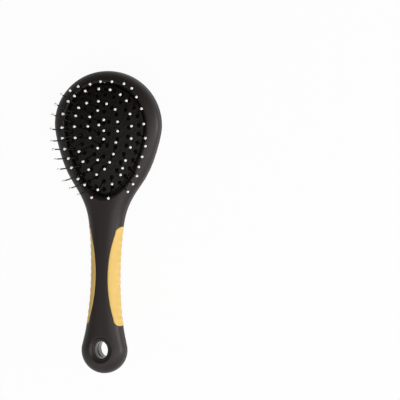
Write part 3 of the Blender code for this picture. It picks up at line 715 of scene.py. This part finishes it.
# How far each ball stands to the right of its root and above it, clockwise from the head's top.
BALL_OFFSETS = (
    (
        (1.3, 5.8), (3.1, 6.8), (5.6, 8.0), (6.1, 8.7), (6.0, 7.8), (7.4, 5.6), (8.3, 1.4),
        (9.5, -2.1), (10.2, -1.4), (9.3, -2.6), (8.8, -3.6), (9.6, -4.2), (9.8, -4.5),
        (10.0, -5.2), (2.1, -6.4), (-4.0, -5.1), (-8.1, -5.0), (-9.5, -4.5), (-10.7, -4.4),
        (-11.4, -1.9), (-11.5, -0.6), (-11.5, 0.1), (-11.5, -0.3), (-11.4, 1.8), (-10.1, 5.5),
        (-9.2, 6.8), (-7.3, 8.1), (-4.0, 6.0), (-2.9, 5.2), (0.1, 4.6),
    ),
    (
        (0.6, 4.3), (2.6, 5.3), (4.7, 5.8), (5.4, 6.8), (6.3, 3.8), (7.0, 1.7), (7.4, -0.5),
        (8.0, -0.5), (6.4, -3.5), (6.5, -3.0), (7.8, -2.1), (5.6, -3.6), (0.9, -5.0),
        (-3.4, -4.9), (-4.7, -6.1), (-6.8, -4.1), (-6.9, -3.7), (-8.2, -3.3), (-9.0, -2.0),
        (-8.8, -1.0), (-8.8, 2.2), (-7.2, 5.1), (-6.1, 3.9), (-3.1, 4.0),
    ),
    (
        (1.0, 2.8), (1.7, 3.2), (4.3, 4.1), (4.8, 1.2), (4.9, 0.5), (4.5, -1.5), (3.9, -4.0),
        (3.0, -4.3), (1.9, -3.9), (0.3, -4.3), (-1.3, -4.7), (-3.0, -4.5), (-4.3, -3.2),
        (-6.0, 0.6), (-6.0, 2.6), (-5.2, 4.3), (-4.8, 4.4), (-2.3, 3.3),
    ),
    (
        (0.9, 1.2), (1.9, 1.9), (2.0, 2.7), (2.7, 5.0), (1.3, -1.7), (-2.0, 5.5), (-2.8, 5.3),
        (-1.2, 3.6), (2.0, -0.8), (1.3, -3.9),
    ),
)


def turned(profile, sides):
    """A turned form up the Z axis from (radius, height) pairs."""
    turn = (np.arange(sides) + 0.5) * math.tau / sides
    circle = np.stack((np.cos(turn), np.sin(turn)), 1)
    return skin([at_height(radius * circle, height) for radius, height in profile])


def stood(form, foot, way):
    """A form's points stood on a foot and leaned along a way."""
    turn = np.array(Vector((0, 0, 1)).rotation_difference(Vector(way)).to_matrix())
    return form @ turn.T + foot


def gathered(forms):
    """Many forms as one set of points and faces."""
    points, faces, count = [], [], 0
    for form_points, form_faces in forms:
        points.append(form_points)
        faces += [tuple(k + count for k in face) for face in form_faces]
        count += len(form_points)
    return np.vstack(points), faces


def wire_form():
    """A wire, from just under the rubber to the middle of its ball."""
    return turned([(PIN_RADIUS, BALL_REACH * share) for share in (-0.1, 0.2, 0.6, 1.0)], 10)


def ball_form():
    """A dipped tip: a ball with a collar where the dip has run down the wire."""
    low = BALL_REACH - BALL_RADIUS
    profile = [(PIN_RADIUS + wider, low + above) for wider, above in COLLAR]
    for turn in np.radians(np.arange(-54, 90, 16)):
        profile.append((BALL_RADIUS * math.cos(turn), BALL_REACH + BALL_RADIUS * math.sin(turn)))
    profile.append((0.02, BALL_REACH + BALL_RADIUS))
    return turned(profile, 18)


def pin_steel():
    """Drawn steel wire: dark, lightly scored, and duller in some places than in others."""
    finish = Finish("pin_steel_wire")
    scored = finish.noise(900.0, 3.0)
    finish.wear(
        Base_Color=finish.between(scored, (0.012, 0.012, 0.013), (0.04, 0.04, 0.042)),
        Roughness=0.26 + scored * 0.16,
        Metallic=0.88 + scored * 0.12,
    )
    return finish.material


def tip_white():
    """White nylon, a little glossy, with the faintest unevenness of a dipped coat."""
    finish = Finish(
        "white_tip_nylon",
        Specular_IOR_Level=0.3,
        Subsurface_Weight=0.6,
        Subsurface_Scale=2 * MM,
        Subsurface_Radius=(1, 1, 1),
    )
    coat = finish.noise(500.0, 2.0)
    finish.wear(
        Base_Color=finish.between(coat, (0.93, 0.93, 0.925), (0.97, 0.97, 0.965)),
        Roughness=0.28 + coat * 0.14,
    )
    finish.relief(coat, 0.04, 0.5)
    return finish.material


PIN_STEEL, TIP_WHITE = pin_steel(), tip_white()
WIRE, BALL = wire_form(), ball_form()
for ring, ring_name in enumerate(RING_NAMES):
    wires, balls = [], []
    for (x, y), offset in zip(ring_roots(ring)[:, :2], BALL_OFFSETS[ring]):
        foot = np.array((x, y, root_height(x, y, CUSHION_CREST)))
        way = np.array((*offset, math.sqrt(BALL_REACH**2 - np.dot(offset, offset)))) / BALL_REACH
        wires.append((stood(WIRE[0], foot, way), WIRE[1]))
        balls.append((stood(BALL[0], foot, way), BALL[1]))
    wire_ring = add_piece(f"{ring_name}_pin_wires", *gathered(wires), PIN_STEEL)
    ball_ring = add_piece(f"{ring_name}_pin_balls", *gathered(balls), TIP_WHITE)
    for piece in (wire_ring, ball_ring):
        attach(piece, "pin_field")
    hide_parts(f"{ring_name}_pins")


# Bristle plate: a domed plate of the shell's plastic, pressed into the back shell's opening.
# It is drilled with a flat-bottomed hole for each tuft, and each hole has a slight raised edge.

PLATE_CREST = 9.4
TUFT_HOLE_DEPTH, TUFT_HOLE_RADIUS, TUFT_HOLE_SLOPE = 0.7, 1.25, 0.3
BURR_HEIGHT, BURR_RADIUS, BURR_WIDTH = 0.1, 1.6, 0.3


def tuft_hole(away):
    """A drilled hole with a raised edge."""
    burr = BURR_HEIGHT * np.exp(-(((away - BURR_RADIUS) / BURR_WIDTH) ** 2))
    return TUFT_HOLE_DEPTH * np.clip((TUFT_HOLE_RADIUS - away) / TUFT_HOLE_SLOPE, 0, 1) - burr


plate = pad_form("bristle_plate_skin", BACK, PLATE_CREST, tuft_hole, BLACK_PLASTIC)
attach(plate, "handle")
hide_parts("bristle_plate")


# Nylon tufts: some two dozen black filaments to a tuft, folded over a staple in each hole.
# They spread a little as they leave the plate, lean out towards the rim like the pins,
# and are trimmed to one flat plane, which the brush lies on.

FILAMENTS = 24
FILAMENT_RADIUS = 0.13
FILAMENT_ROOT = 1.0
TUFT_RADIUS = 0.85
# Degrees that the outermost tufts would lean sideways and along, and that a tuft opens by.
TUFT_LEANS = (17, 14)
TUFT_SPLAY = 5.0
# Filaments follow one another round a tuft by this turn, which spreads them evenly.
EVEN_TURN = 2.39996
# How unevenly they stand: in their turn, in their way, and in millimetres of bend.
TURN_SPREAD, WAY_SPREAD, BEND_SPREAD = 0.2, 0.008, 0.25
chance = np.random.default_rng(82)


def lean(ring, out, sideways, along):
    """The way that a tuft leaves the plate, further out the nearer its ring is to the rim."""
    share = RING_WIDTH_SHARES[ring]
    across = math.tan(math.radians(sideways)) * out[0] * share
    way = np.array((across, math.tan(math.radians(along)) * out[1] * share, 1))
    return way / np.linalg.norm(way)


def filament(root, way, bend):
    """One filament from inside its hole to the trimmed plane, three-sided, with a slight bend."""
    start = root - way * FILAMENT_ROOT
    rings = []
    for share in (0.0, 0.4, 0.75, 1.0):
        z = start[2] + (BRISTLE_REACH - start[2]) * share
        x, y = start[:2] + way[:2] / way[2] * (z - start[2]) + bend * share * share
        turn = np.arange(3) * math.tau / 3 + bend[0] * 9
        radius = FILAMENT_RADIUS * (1.05 - 0.2 * share)
        section = np.stack((x + radius * np.cos(turn), y + radius * np.sin(turn)), 1)
        rings.append(at_height(section, -z))
    return skin(rings)


def black_nylon():
    """Black nylon filament: smooth and slightly glossy, with a few dustier lengths."""
    finish = Finish("black_filament_nylon", Specular_IOR_Level=0.4)
    streak = finish.noise(260.0, 3.0)
    finish.wear(
        Base_Color=finish.between(streak, (0.008, 0.0078, 0.0076), (0.028, 0.027, 0.026)),
        Roughness=0.3 + streak * 0.14,
    )
    return finish.material


BLACK_NYLON = black_nylon()
for ring, ring_name in enumerate(RING_NAMES):
    strands = []
    for x, y, out_x, out_y in ring_roots(ring):
        out = lean(ring, (out_x, out_y), *TUFT_LEANS)
        for k in range(FILAMENTS):
            turn = k * EVEN_TURN + chance.normal(0, TURN_SPREAD)
            away = math.sqrt((k + 0.5) / FILAMENTS)
            spread = np.array((math.cos(turn), math.sin(turn), 0.0)) * away
            way = out + spread * math.tan(math.radians(TUFT_SPLAY))
            way = way + (*chance.normal(0, WAY_SPREAD, 2), 0)
            root = np.array((x, y, 0.0)) + spread * TUFT_RADIUS
            root[2] = root_height(root[0], root[1], PLATE_CREST)
            bend = chance.normal(0, BEND_SPREAD, 2)
            strands.append(filament(root, way / np.linalg.norm(way), bend))
    tufts = add_piece(f"{ring_name}_tuft_filaments", *gathered(strands), BLACK_NYLON)
    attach(tufts, "handle")
    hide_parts(f"{ring_name}_bristles")


# Ground and light: the brush lies on a plain white ground that sweeps up far behind it.
# Large soft lamps stand to the right, beyond the handle's end and, weaker, to its left,
# and a small low one lights the right side. From here on, places are in metres.

FLOOR_REACH, SWEEP_RADIUS, WALL_TOP = 3.2, 0.8, 1.3
OWN_WHITE = 0.95
ROOM_LIGHT = 0.13
LAMP_TARGET = Vector((0, 0, 0.02))


def ground_white():
    """White ground that keeps the shadow: its own white where seen, and paint to other light."""
    finish = Finish("ground_white_paint", Specular_IOR_Level=0.0)
    mottle = finish.noise(6.0, 2.0)
    finish.wear(
        Base_Color=finish.between(mottle, (0.86, 0.86, 0.86), (0.9, 0.9, 0.9)),
        Roughness=0.8 + mottle * 0.1,
    )
    kinds = ("Is Camera Ray", "Is Glossy Ray", "Is Transmission Ray")
    camera_ray, glossy_ray, transmission_ray = [
        finish.node("ShaderNodeLightPath", {}, {}, kind) for kind in kinds
    ]
    seen = (camera_ray + glossy_ray + transmission_ray).clamped()
    glow = finish.node("ShaderNodeEmission", {}, {"Color": (1, 1, 1, 1), "Strength": 1.0})
    paint = Shade(finish, finish.shader.outputs[0])
    mixed = finish.node("ShaderNodeMixShader", {}, {0: seen * OWN_WHITE, 1: paint, 2: glow})
    finish.feed(finish.tree.nodes["Material Output"].inputs["Surface"], mixed)
    return finish.material


def sweep_form():
    """A round floor that curves up into a low wall."""
    turn = np.arange(96) * math.tau / 96
    profile = [(0.02, 0.0), (FLOOR_REACH, 0.0)]
    for t in np.radians((20, 40, 60, 80, 90)):
        rise = SWEEP_RADIUS - SWEEP_RADIUS * math.cos(t)
        profile.append((FLOOR_REACH + SWEEP_RADIUS * math.sin(t), rise))
    profile.append((FLOOR_REACH + SWEEP_RADIUS, WALL_TOP))
    circle = np.stack((np.cos(turn), np.sin(turn)), 1)
    return skin([at_height(reach * circle, z) for reach, z in profile], (True, False))


ground = bpy.data.objects.new("ground", bpy.data.meshes.new("ground"))
sweep_points, sweep_faces = sweep_form()
ground.data.from_pydata(sweep_points.tolist(), [], sweep_faces)
ground.data.materials.append(ground_white())
soften(ground)
bpy.context.scene.collection.objects.link(ground)

room = bpy.data.worlds.new("studio")
room.use_nodes = True
room.node_tree.nodes["Background"].inputs["Color"].default_value = (1, 1, 1, 1)
room.node_tree.nodes["Background"].inputs["Strength"].default_value = ROOM_LIGHT
bpy.context.scene.world = room


def soft_lamp(name, place, width, height, power):
    """A flat soft lamp aimed at the brush, which lights it without being seen."""
    lamp = bpy.data.lights.new(name, "AREA")
    lamp.shape, lamp.size, lamp.size_y, lamp.energy = "RECTANGLE", width, height, power
    stand = bpy.data.objects.new(name, lamp)
    stand.location = place
    stand.rotation_euler = (Vector(place) - LAMP_TARGET).to_track_quat("Z", "Y").to_euler()
    stand.visible_camera = False
    bpy.context.scene.collection.objects.link(stand)


soft_lamp("right_lamp", (1.0, -0.36, 1.08), 1.3, 1.3, 12.3)
soft_lamp("foot_lamp", (0.0, -0.86, 1.25), 1.6, 1.6, 7.8)
soft_lamp("left_lamp", (-0.81, -0.81, 0.98), 1.4, 1.4, 4.7)
soft_lamp("low_lamp", (1.48, 0.0, 0.23), 0.4, 0.4, 9.8)


# Camera: where the photographer stood, a little to the brush's right and above its middle.

TURN, TILT, ROLL = math.radians(16.91), math.radians(4.17), math.radians(-1.07)
FILM_WIDTH, FOCAL_LENGTH = 36.0, 285.7
# The camera's place from the brush's middle, along its own right, up and back.
STANDPOINT = Vector((0.0647, 0.0156, 2.2))
MIDDLE = Vector((0, 0, BRISTLE_REACH * MM))
lens = bpy.data.cameras.new("camera")
lens.sensor_width, lens.lens = FILM_WIDTH, FOCAL_LENGTH
lens.clip_end = 20.0
camera = bpy.data.objects.new("camera", lens)
aim = Matrix.Rotation(TURN, 3, "Y") @ Matrix.Rotation(-TILT, 3, "X")
aim = aim @ Matrix.Rotation(-ROLL, 3, "Z")
camera.matrix_world = Matrix.Translation(aim @ STANDPOINT + MIDDLE) @ aim.to_4x4()
bpy.context.scene.collection.objects.link(camera)
bpy.context.scene.camera = camera
bpy.context.scene.view_settings.view_transform = "Standard"
